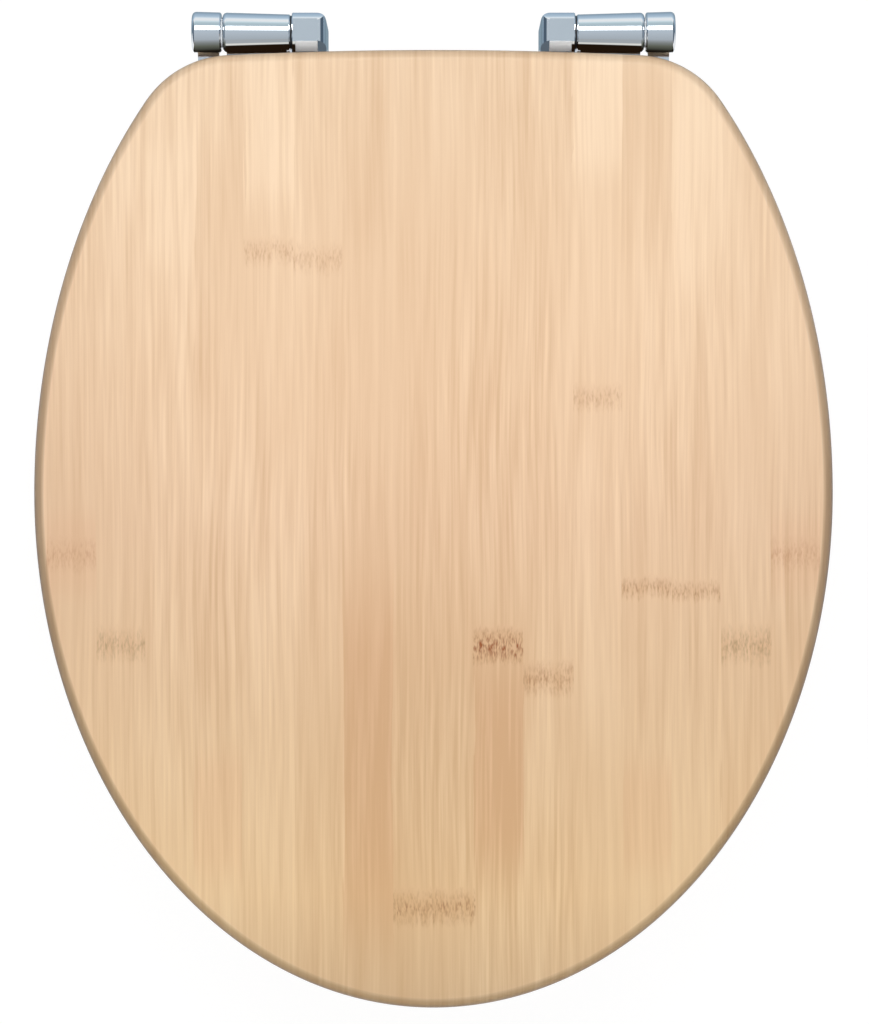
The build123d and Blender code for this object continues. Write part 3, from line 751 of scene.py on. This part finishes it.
# A square neck with slightly rounded corners, which keeps the bolt from turning in the slot
neck = NECK_HALF * (np.abs(circle(around)) ** NECK_SQUARENESS).sum(1) ** (-1 / NECK_SQUARENESS)
thread_heights, thread_radii = thread(
    THREAD_TOP, bolt_low.z + TIP_LENGTH, THREAD_CORE, THREAD_RIDGE, THREAD_PITCH
)
bolt_heights = [*dome_heights, FOOT_TOP, FOOT_BOTTOM, FOOT_BOTTOM, THREAD_TOP, *thread_heights, bolt_low.z]
bolt_radii = np.vstack([
    dome_reach[:, None] * even_row, neck, neck, SHANK_RADIUS * even_row, SHANK_RADIUS * even_row,
    thread_radii, TIP_RADIUS * even_row,
])
for side, sign in SIDES.items():
    axis = (sign * bolt_place, 0)
    bolt_skin = skin(turned(axis, bolt_heights, bolt_radii), first_pole=(*axis, bolt_high.z),
                     last_pole=(*axis, bolt_low.z))
    bolt = build(f"{side}_coach_bolt", bolt_skin)
    dress(bolt, "hinge_base", "zinc_steel", zinc, f"{side}_mounting_bolt")

# %% [markdown]
# The wood screws have a countersunk head with a cross recess. The head is a disc whose points sink where they
# lie near one of two crossing lines, so the recess is in the mesh and no Boolean is needed.

# %% Wood screws
SCREW_HEAD = 3.4 * MM
SCREW_SHANK = 1.9 * MM
SCREW_LENGTH = 13.0 * MM
SCREW_CORE = 1.3 * MM
SCREW_RIDGE = 0.6 * MM
SCREW_PITCH = 1.5 * MM
SCREW_THREAD_TOP = -3.0 * MM
SCREW_THREAD_END = -10.5 * MM
SCREW_TIP = -12.6 * MM
SCREW_TIP_RADIUS = 0.2 * MM
# The recess: its depth, and half the width and length of each slot with the slopes of their walls
RECESS_DEPTH = 1.3 * MM
SLOT_HALF_WIDTH = 0.6 * MM
SLOT_WALL = 0.25 * MM
SLOT_HALF_LENGTH = 2.2 * MM
SLOT_END = 0.8 * MM
HEAD_STEPS = np.linspace(0.04, 1, 22)
# Each group of screws: its body, whether it points down (1) or up (-1), and its places in millimetres
SCREW_GROUPS = {
    "seat_leaf_screws": ("seat", 1, ((75.3, -30.0), (89.3, -30.0), (82.3, -42.0))),
    "lid_leaf_screws": ("lid", -1, ((104.7, -28.0), (104.7, -42.0))),
}

head_x, head_y = np.moveaxis(SCREW_HEAD * HEAD_STEPS[:, None, None] * circle(around), -1, 0)
narrow, wide = np.minimum(abs(head_x), abs(head_y)), np.maximum(abs(head_x), abs(head_y))
in_slot = np.clip((SLOT_HALF_WIDTH - narrow) / SLOT_WALL, 0, 1)
in_length = np.clip((SLOT_HALF_LENGTH - wide) / SLOT_END, 0, 1)
screw_head = np.stack([head_x, head_y, -RECESS_DEPTH * in_slot * in_length], axis=-1)
ridge_heights, ridge_radii = thread(SCREW_THREAD_TOP, SCREW_THREAD_END, SCREW_CORE, SCREW_RIDGE, SCREW_PITCH)
shank_heights = [SCREW_SHANK - SCREW_HEAD, SCREW_THREAD_TOP, *ridge_heights, SCREW_TIP]
shank_radii = np.vstack([
    SCREW_SHANK * even_row, SCREW_CORE * even_row, ridge_radii, SCREW_TIP_RADIUS * even_row
])
screw_grid = np.concatenate([screw_head, turned((0, 0), shank_heights, shank_radii)])
screw_points, screw_faces = skin(
    screw_grid, first_pole=(0, 0, -RECESS_DEPTH), last_pole=(0, 0, -SCREW_LENGTH)
)
for node, (body, turn_over, places) in SCREW_GROUPS.items():
    low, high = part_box(f"right_{node}")
    top = high.z if turn_over == 1 else low.z
    aimed = screw_points * (1, turn_over, turn_over)
    for side, sign in SIDES.items():
        copies = [(aimed + (sign * x * MM, y * MM, top), screw_faces) for x, y in places]
        dress(build(f"{side}_{node}_piece", *copies), body, "zinc_steel", zinc, f"{side}_{node}")

# %% [markdown]
# Under the ceramic, a rubber washer, a stiff plastic one and a plastic wing nut hold each bolt. The nut's hub
# is fluted for the fingers, and its paddles are boards with a small edge round, stood on edge.

# %% Washers
WASHER_BORE = 4.2 * MM
WASHERS = {"rubber_washer": ("grey_rubber", 0.5 * MM), "clamp_washer": ("white_plastic", 0.4 * MM)}
for node, (slot, soft) in WASHERS.items():
    low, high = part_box(f"right_{node}")
    rim = (high.x - low.x) / 2
    radii, heights = ring_section(low.z, high.z, WASHER_BORE, rim, rim, soft, soft)
    ring_skin = skin(turned((bolt_place, 0), heights, radii), loop=True)
    both_sides(node, "hinge_base", slot, moulded[slot], ring_skin)

# %% Wing nuts
NUT_BORE = 3.65 * MM
HUB_TOP = 8.5 * MM
HUB_TIP = 7.0 * MM
FLUTES = 10
FLUTE_DEPTH = 0.45 * MM
FLUTED_ROWS = (3, 4)
PADDLE_ROOT = 4.0 * MM
PADDLE_TIP = 5.5 * MM
PADDLE_HALF = 1.8 * MM
PADDLE_POINTS = 120
PADDLE_STEPS = 6
EDGE_ROUND = 1.0 * MM
CUT = 0.3 * MM
HUB_CUT = 3 * CUT
ARC_POINTS = 60
nut_low, nut_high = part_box("right_wing_nut")


def arcs(*pieces):
    """Outline of arcs joined by straight lines: each has a centre, a radius, and its first and last angle."""
    return np.vstack([
        np.array(centre) + radius * circle(np.radians(np.linspace(first, last, ARC_POINTS)))
        for centre, radius, first, last in pieces
    ])


hub_radii, hub_heights = ring_section(nut_low.z, nut_high.z, NUT_BORE, HUB_TIP, HUB_TOP, CUT, HUB_CUT)
fluted = np.isin(np.arange(len(hub_radii)), FLUTED_ROWS)[:, None]
flutes = FLUTE_DEPTH * np.abs(np.sin(FLUTES * around)) * fluted
hub = skin(turned((bolt_place, 0), hub_heights, hub_radii[:, None] - flutes), loop=True)

tip_place = (nut_high.x - nut_low.x) / 2 - PADDLE_TIP
lean = math.degrees(math.acos((PADDLE_ROOT - PADDLE_TIP) / (tip_place - HUB_TIP)))
paddle = arcs(((tip_place, 0), PADDLE_TIP, -lean, lean), ((HUB_TIP, 0), PADDLE_ROOT, lean, 360 - lean))
paddle[:, 0] = np.maximum(paddle[:, 0], NUT_BORE + EDGE_ROUND)
paddle_section = edge_section(-PADDLE_HALF, PADDLE_HALF, EDGE_ROUND, EDGE_ROUND, PADDLE_STEPS)
flat_points, paddle_faces = slab(evenly(paddle, PADDLE_POINTS), paddle_section, np.array([tip_place, 0]))
stood_up = flat_points[:, [0, 2, 1]]
paddles = [(stood_up * (sign, 1, 1) + (bolt_place, 0, nut_low.z + PADDLE_TIP), paddle_faces)
           for sign in SIDES.values()]
both_sides("wing_nut", "hinge_base", "white_plastic", moulded["white_plastic"], hub, *paddles)

# %% [markdown]
# The pads under the feet and the buffers under the ring and lid are moulded. A pad is a thin band between the
# foot's outline and its slot. A seat buffer is an oblong slab with a soft lower edge, and a peg that is
# pressed into the wood; a lid buffer is turned, with a shallow dish that lands quietly on the ring.

# %% Base pads
PAD_SLOT_RADIUS = 5.75 * MM
SLOT_HALF_TRAVEL = 6.0 * MM
PAD_CORNER = 5.0 * MM
PAD_POINTS = 240
PAD_OUTLINE_POINTS = 2000
PAD_STEPS = 5
pad_low, pad_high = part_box("right_base_pad")
end_place = pad_high.x - pad_high.y
corner_x, corner_y = pad_low.x + PAD_CORNER, pad_high.y - PAD_CORNER
pad_middle = np.array([bolt_place, 0])
pad_outline = arcs(((end_place, 0), pad_high.y, -90, 90), ((corner_x, corner_y), PAD_CORNER, 90, 180),
                   ((corner_x, -corner_y), PAD_CORNER, 180, 270))
slot_outline = arcs(((bolt_place + SLOT_HALF_TRAVEL, 0), PAD_SLOT_RADIUS, -90, 90),
                    ((bolt_place - SLOT_HALF_TRAVEL, 0), PAD_SLOT_RADIUS, 90, 270))
pad_turns = np.linspace(0, 2 * math.pi, PAD_POINTS, endpoint=False)
pad_edge = edge_section(pad_low.z, pad_high.z, CUT, CUT, PAD_STEPS)
outer, inner = (by_angle(evenly(outline, PAD_OUTLINE_POINTS), pad_middle, pad_turns)
                for outline in (pad_outline, slot_outline))
both_sides("base_pad", "hinge_base", "grey_rubber", moulded["grey_rubber"], band(outer, inner, pad_edge))

# %% Seat buffers
BUFFER_LENGTH = 38.0 * MM
BUFFER_WIDTH = 15.0 * MM
BUFFER_ROUND = 1.5 * MM
BUFFER_POINTS = 160
BUFFER_STEPS = 8
PEG_RADIUS = 2.5 * MM
PEG_CHAMFER = 0.6 * MM


def peg(axis, low, high):
    """Upright peg with a chamfered tip."""
    grid = turned(axis, [low, high - PEG_CHAMFER, high], [PEG_RADIUS, PEG_RADIUS, PEG_RADIUS - PEG_CHAMFER])
    return skin(grid, first_pole=(*axis, low), last_pole=(*axis, high))


# A buffer's heading follows from its box: straight length times cosine and sine, plus its width
for end, lean in (("front", 1), ("rear", -1)):
    low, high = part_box(f"right_{end}_seat_buffer")
    middle = np.array([low.x + high.x, low.y + high.y]) / 2
    heading = math.atan2(high.y - low.y - BUFFER_WIDTH, lean * (high.x - low.x - BUFFER_WIDTH))
    along = (BUFFER_LENGTH - BUFFER_WIDTH) / 2 * circle(heading)
    degrees = math.degrees(heading)
    oblong = arcs((middle + along, BUFFER_WIDTH / 2, degrees - 90, degrees + 90),
                  (middle - along, BUFFER_WIDTH / 2, degrees + 90, degrees + 270))
    section = edge_section(low.z, ring_low.z, BUFFER_ROUND, CUT, BUFFER_STEPS)
    both_sides(f"{end}_seat_buffer", "seat", "clear_rubber", moulded["clear_rubber"],
               slab(evenly(oblong, BUFFER_POINTS), section, middle), peg(middle, ring_low.z, high.z))

# %% Lid buffers
DISH_DEPTH = 0.35 * MM
DISH_MIDDLE = 0.5 * MM
DISH_FLAT = 0.5
DISH_RIM = 0.65
low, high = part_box("right_lid_buffer")
middle = ((low.x + high.x) / 2, (low.y + high.y) / 2)
rim = (high.x - low.x) / 2
dish = low.z + DISH_DEPTH
quarter = np.linspace(0, math.pi / 2, BUFFER_STEPS)
round_radii = rim - BUFFER_ROUND * (1 - np.sin(quarter))
round_heights = low.z + BUFFER_ROUND * (1 - np.cos(quarter))
lid_buffer_radii = [DISH_MIDDLE, DISH_FLAT * rim, DISH_RIM * rim, *round_radii, rim, rim - CUT,
                    PEG_RADIUS, PEG_RADIUS, PEG_RADIUS - PEG_CHAMFER]
lid_buffer_heights = [dish, dish, low.z, *round_heights, lid_low.z - CUT, lid_low.z,
                      lid_low.z, high.z - PEG_CHAMFER, high.z]
dished = turned(middle, lid_buffer_heights, lid_buffer_radii)
both_sides("lid_buffer", "lid", "clear_rubber", moulded["clear_rubber"],
           skin(dished, first_pole=(*middle, dish), last_pole=(*middle, high.z)))

# %% [markdown]
# The hinge castings, covers, pins, bushes and thin washers already have their exact shapes in the frame,
# with smooth normals, so they stay and take their finishes.

# %% Carried-over solids
FINISHES = {"bamboo": lid_bamboo, "chrome": chrome, "zinc_steel": zinc, **moulded}
slots = {part["node"]: part["material_slot"] for part in frame["record"]["subparts"]}
for name, node in frame["nodes"].items():
    node.data.materials.clear()
    node.data.materials.append(FINISHES[slots[name]])
print(len(slots), "solids finished")

# %% [markdown]
# Light: one long softbox above and a little behind the hinges gives the white streak along the barrels. A
# front fill evens out the lid, and a spot from overhead lifts the hinges and the rear of the lid. Those two
# don't show in reflections, so that the softbox is the only lamp in the chrome. A sky would light the lid as
# well, but chrome needs a lamp with edges.

# %% Softbox, fill and spot
KEY_ANGLE = math.radians(26)
KEY_DISTANCE = 2.0
KEY_LENGTH = 2.0
KEY_WIDTH = 0.6
KEY_POWER = 19.0
FILL_ANGLE = math.radians(-30)
FILL_DISTANCE = 2.5
FILL_SIZE = 1.6
FILL_POWER = 24.0
SPOT_PLACE = (0, -0.2, 1.55)
SPOT_CONE = math.radians(26)
SPOT_SIZE = 0.03
SPOT_POWER = 18.0
HINGE_LINE = 0.0


def lamp(name, kind, power, place, aim, **settings):
    """A lamp of a kind at a place, turned about the X axis to face a line across the floor at a given Y."""
    light = new_object(name, bpy.data.lights.new(name, kind))
    light.data.energy = power
    for setting, value in settings.items():
        setattr(light.data, setting, value)
    light.location = place
    light.rotation_euler = (math.atan2(aim - place[1], place[2]), 0, 0)
    return light


def above_lid(angle, distance):
    """Place at a distance from the lid's widest line, leaning back from upright by an angle."""
    return 0, widest_line + distance * math.sin(angle), distance * math.cos(angle)


key = lamp("softbox", "AREA", KEY_POWER, above_lid(KEY_ANGLE, KEY_DISTANCE), widest_line,
           shape="RECTANGLE", size=KEY_LENGTH, size_y=KEY_WIDTH)
fill = lamp("front_fill", "AREA", FILL_POWER, above_lid(FILL_ANGLE, FILL_DISTANCE), widest_line,
            size=FILL_SIZE)
spot = lamp("hinge_spot", "SPOT", SPOT_POWER, SPOT_PLACE, HINGE_LINE,
            spot_size=SPOT_CONE, spot_blend=1.0, shadow_soft_size=SPOT_SIZE)
fill.visible_glossy = False
spot.visible_glossy = False
print("softbox at", [round(c, 2) for c in key.location])

# %% [markdown]
# The world is a plain white room. To the camera, mirrors and glass it is white, and the light that it gives
# the object is much weaker, so that the lamps do the modelling. Light Path tells the two apart.

# %% World
AMBIENT = 0.16


def looked_at(tree):
    """One for rays that show a thing to the camera, in a mirror or through glass, and nought for others."""
    rays = add(tree, "LightPath")
    seen = rays["Is Camera Ray"]
    for ray in ("Is Glossy Ray", "Is Transmission Ray"):
        seen = add(tree, "Math", {0: seen, 1: rays[ray]}, operation="MAXIMUM")[0]
    return seen


world = bpy.data.worlds.new("studio")
bpy.context.scene.world = world
world.use_nodes = True
tree = world.node_tree
strength = add(tree, "MapRange", {"Value": looked_at(tree), "To Min": AMBIENT, "To Max": 1.0})[0]
tree.nodes["Background"].inputs["Color"].default_value = (1, 1, 1, 1)
tree.links.new(strength, tree.nodes["Background"].inputs["Strength"])
print("ambient light", AMBIENT)

# %% [markdown]
# Chrome is only as good as what it mirrors. A tent, an arch with two ends, stands in for the studio: it
# glows in bands of plain colour and shows only in reflections. A picture of a room would be quicker, but
# here each band is set by its angle. A flag lies behind the hinges, and a small one stands before each piece
# of a hinge, where the chrome would otherwise mirror the edge of the lid. Each small flag is a painted
# reflection of that edge, mostly dark as painted shade, with a light line on the long barrel's flag for the
# edge's lit top round.

# %% Tent for the reflections
TENT_RADIUS = 3.0
TENT_HALF_LENGTH = 3.0
TENT_REACH = 110
TENT_STEPS = 221
# Each band: its angle from upright about the X axis, which runs under the hinges, in degrees, and its tone
TENT_BANDS = (
    (-TENT_REACH, "#2B2A2C"), (-80, "#3A3A3E"), (-72, "#D8CFC2"), (-66, "#8C8F96"), (-50, "#B4BCC2"),
    (-12, "#C3CCD4"), (-4, "#C4CFD7"), (14, "#C4CFD7"), (36, "#BFD0D7"), (46, "#C0D3DA"), (52, "#CCDFE4"),
    (59, "#E6F4F9"), (66, "#FDFFFF"), (76, "#FFFFFF"), (82, "#F3FCFF"), (90, "#D0E2F0"),
    (TENT_REACH, "#B8CDDE"),
)
END_BANDS = ((-TENT_REACH, "#566675"), (TENT_REACH, "#566675"))
HIDDEN_FROM = ("camera", "diffuse", "transmission", "volume_scatter", "shadow")


def sheet_grid(x, y, z):
    """Grid of points from coordinates that run along its rows, its columns or neither."""
    return np.stack(np.broadcast_arrays(x, y, z), axis=-1)


def open_sheet(name, grid):
    """A sheet of the stage: a grid of points, with a quad between each point and its next neighbours."""
    rows, columns = grid.shape[:2]
    index = np.arange(rows * columns).reshape(rows, columns)
    quads = np.stack([index[:-1, :-1], index[:-1, 1:], index[1:, 1:], index[1:, :-1]], axis=-1).reshape(-1, 4)
    mesh = bpy.data.meshes.new(name)
    mesh.from_pydata(grid.reshape(-1, 3), [], quads.tolist())
    sheet = new_object(name, mesh)
    return sheet


def tent_sheet(name, grid, bands):
    """A sheet that only reflections show, glowing with bands of colour by its angle about the X axis."""
    sheet = open_sheet(name, grid)
    for ray in HIDDEN_FROM:
        setattr(sheet, f"visible_{ray}", False)
    cloth, tree, _ = finish(name + "_cloth")
    place = add(tree, "SeparateXYZ", {0: add(tree, "TexCoord")["Object"]})
    angle = add(tree, "Math", {0: place["Y"], 1: place["Z"]}, operation="ARCTAN2")[0]
    first, last = bands[0][0], bands[-1][0]
    limits = {"From Min": math.radians(first), "From Max": math.radians(last)}
    ramp = add(tree, "ValToRGB", {"Fac": add(tree, "MapRange", {"Value": angle, **limits})[0]})
    set_tones(ramp, [((degrees - first) / (last - first), tone) for degrees, tone in bands])
    glow = add(tree, "Emission", {"Color": ramp["Color"], "Strength": 1.0})[0]
    tree.links.new(glow, tree.nodes["Material Output"].inputs["Surface"])
    sheet.data.materials.append(cloth)


turns = np.radians(np.linspace(-TENT_REACH, TENT_REACH, TENT_STEPS))[:, None]
ends = np.array([-TENT_HALF_LENGTH, TENT_HALF_LENGTH])
arch_grid = sheet_grid(ends, TENT_RADIUS * np.sin(turns), TENT_RADIUS * np.cos(turns))
tent_sheet("tent_arch", arch_grid, TENT_BANDS)
spokes = np.array([0.0, TENT_RADIUS])
for side, sign in SIDES.items():
    end_grid = sheet_grid(sign * TENT_HALF_LENGTH, spokes * np.sin(turns), spokes * np.cos(turns))
    tent_sheet(f"tent_{side}", end_grid, END_BANDS)
print("tent of radius", TENT_RADIUS)

# %% Flags at the hinges, the small ones painted reflections of the lid's edge
FLAG_BANDS = (
    (91, "#C8DCEA"), (97, "#B8CDDE"), (104, "#B0C6DA"), (113, "#A0B6C7"), (129, "#8EA3B1"), (180, "#8296A3"),
)
FLAG_GAP = 0.25 * MM
# Each flag before a hinge, a painted reflection of the lid's edge: first and last distance from the middle,
# and its tones by height, all in mm
PAINTED_EDGE_REFLECTIONS = {
    "post": (49, 63.5, ((26.5, "#657079"), (42.4, "#657079"))),
    "long_barrel": (63.5, 97.5, ((26.5, "#25180D"), (36.2, "#25180D"), (36.7, "#F2EFE6"),
                                 (37.8, "#F2EFE6"), (38.3, "#B2B6B8"), (42.4, "#B2B6B8"))),
    "short_barrel": (97.5, 113, ((26.5, "#1E1912"), (33, "#1E1912"), (36.5, "#6A6C60"),
                                 (39, "#8A8E8B"), (42.4, "#B0B5BA"))),
}
flag_depth = np.array([[lid_high.y], [TENT_RADIUS]])
tent_sheet("flag_behind_hinges", sheet_grid(ends, flag_depth, cad_box[0].z), FLAG_BANDS)
flag_plane = lid_high.y - FLAG_GAP
for side, sign in SIDES.items():
    for hinge_piece, (first, last, tones) in PAINTED_EDGE_REFLECTIONS.items():
        levels = np.array([[tones[0][0]], [tones[-1][0]]]) * MM
        flag_grid = sheet_grid(sign * np.array([first, last]) * MM, flag_plane, levels)
        bands = [(math.degrees(math.atan2(flag_plane, level * MM)), tone) for level, tone in tones]
        tent_sheet(f"{side}_{hinge_piece}_flag", flag_grid, bands)
print("flags before the hinges:", sorted(PAINTED_EDGE_REFLECTIONS))

# %% [markdown]
# The floor is a plain white sheet. The camera sees it mostly as bright paper, and a little of its real
# shading, so that the seat's faint shadow stays.

# %% Floor
FLOOR_HALF_SIZE = 4.0
FLOOR_GAP = 1 * MM
PAPER_WHITE = (0.9, 0.9, 0.9, 1)
PAPER_SHARE = 0.88
PAPER_GLOW = 1.06
floor_height = cad_box[0].z - FLOOR_GAP
reach = np.array([-FLOOR_HALF_SIZE, FLOOR_HALF_SIZE])
floor = open_sheet("floor", sheet_grid(reach, reach[:, None], floor_height))
paper, tree, shader = finish("white_paper", Roughness=0.9, Specular_IOR_Level=0.0, Base_Color=PAPER_WHITE)
share = add(tree, "Math", {0: looked_at(tree), 1: PAPER_SHARE}, operation="MULTIPLY")[0]
white = add(tree, "Emission", {"Strength": PAPER_GLOW})[0]
both = add(tree, "MixShader", {0: share, 1: shader.outputs[0], 2: white})[0]
tree.links.new(both, tree.nodes["Material Output"].inputs["Surface"])
floor.data.materials.append(paper)
print("floor at", round(floor_height, 4))
